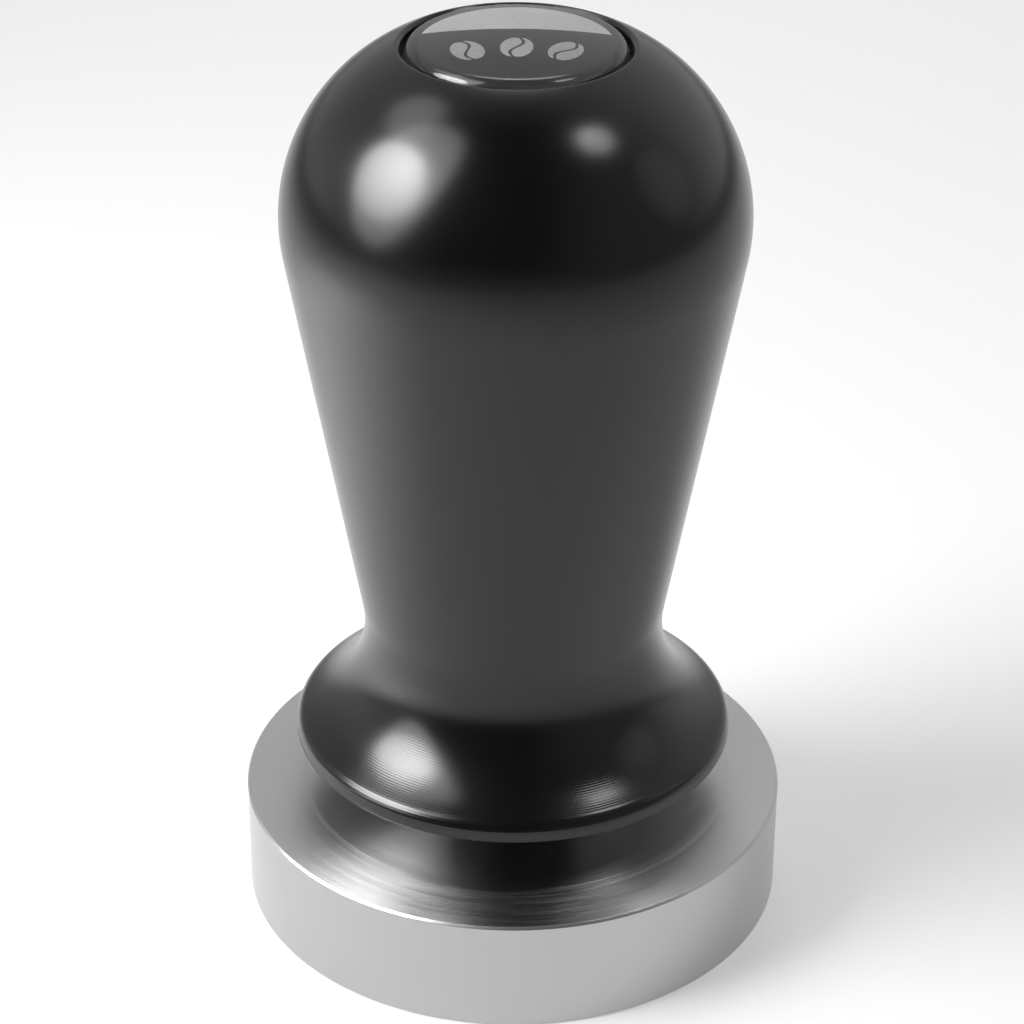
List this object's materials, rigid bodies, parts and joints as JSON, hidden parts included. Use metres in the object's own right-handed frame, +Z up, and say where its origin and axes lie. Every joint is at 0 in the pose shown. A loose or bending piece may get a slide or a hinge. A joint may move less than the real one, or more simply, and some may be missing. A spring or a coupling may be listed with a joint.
{
  "type": "espresso tamper",
  "caption": "Espresso tamper with a flat steel base and a pear-shaped black handle that slides down on an inner preloaded spring.",
  "frame": {"origin": "centre of the flat tamping face, which the part stands on", "axes": "+Z up the handle's axis towards the badge; the part is turned, so +X and +Y lie in the tamping face, with the two anti-rotation pins on X"},
  "size_m": [0.058, 0.058, 0.0979],
  "materials": {
    "handle_anodised": "black anodised over fine turning marks",
    "base_steel": "satin turned stainless steel",
    "guide_steel": "ground and nitrided steel",
    "fastener_steel": "blackened alloy steel",
    "spring_steel": "drawn spring wire, ground ends",
    "bush_bronze": "sintered bronze",
    "washer_acetal": "natural acetal",
    "seal_rubber": "black nitrile",
    "badge_adhesive": "foam tape",
    "badge_metal": "black painted disc",
    "badge_ink": "two-tone printed vinyl",
    "badge_resin": "clear domed resin"
  },
  "bodies": {
    "base": {"base_disc": "base_steel", "shaft_washer": "guide_steel", "guide_shaft": "guide_steel", "guide_flange": "guide_steel", "flange_screw": "fastener_steel", "lower_spring_seat": "spring_steel", "main_spring": "spring_steel"},
    "handle": {"handle": "handle_anodised", "retaining_collar": "guide_steel", "wiper_ring": "seal_rubber", "guide_bush": "bush_bronze", "top_out_washer": "washer_acetal", "anti_rotation_pin_1": "guide_steel", "anti_rotation_pin_2": "guide_steel", "upper_spring_seat": "guide_steel", "preload_screw": "fastener_steel", "lock_ring": "fastener_steel", "badge_tape": "badge_adhesive", "badge_plate": "badge_metal", "badge_print": "badge_ink", "badge_dome": "badge_resin"}
  },
  "joints": [
    {"name": "handle_press", "type": "slide", "parent": "base", "child": "handle", "axis": [0, 0, -1], "range_m": [0, 0.0063], "stiffness_N_per_m": 9000, "springref_m": -0.0148, "deforming": ["main_spring"]}
  ]
}
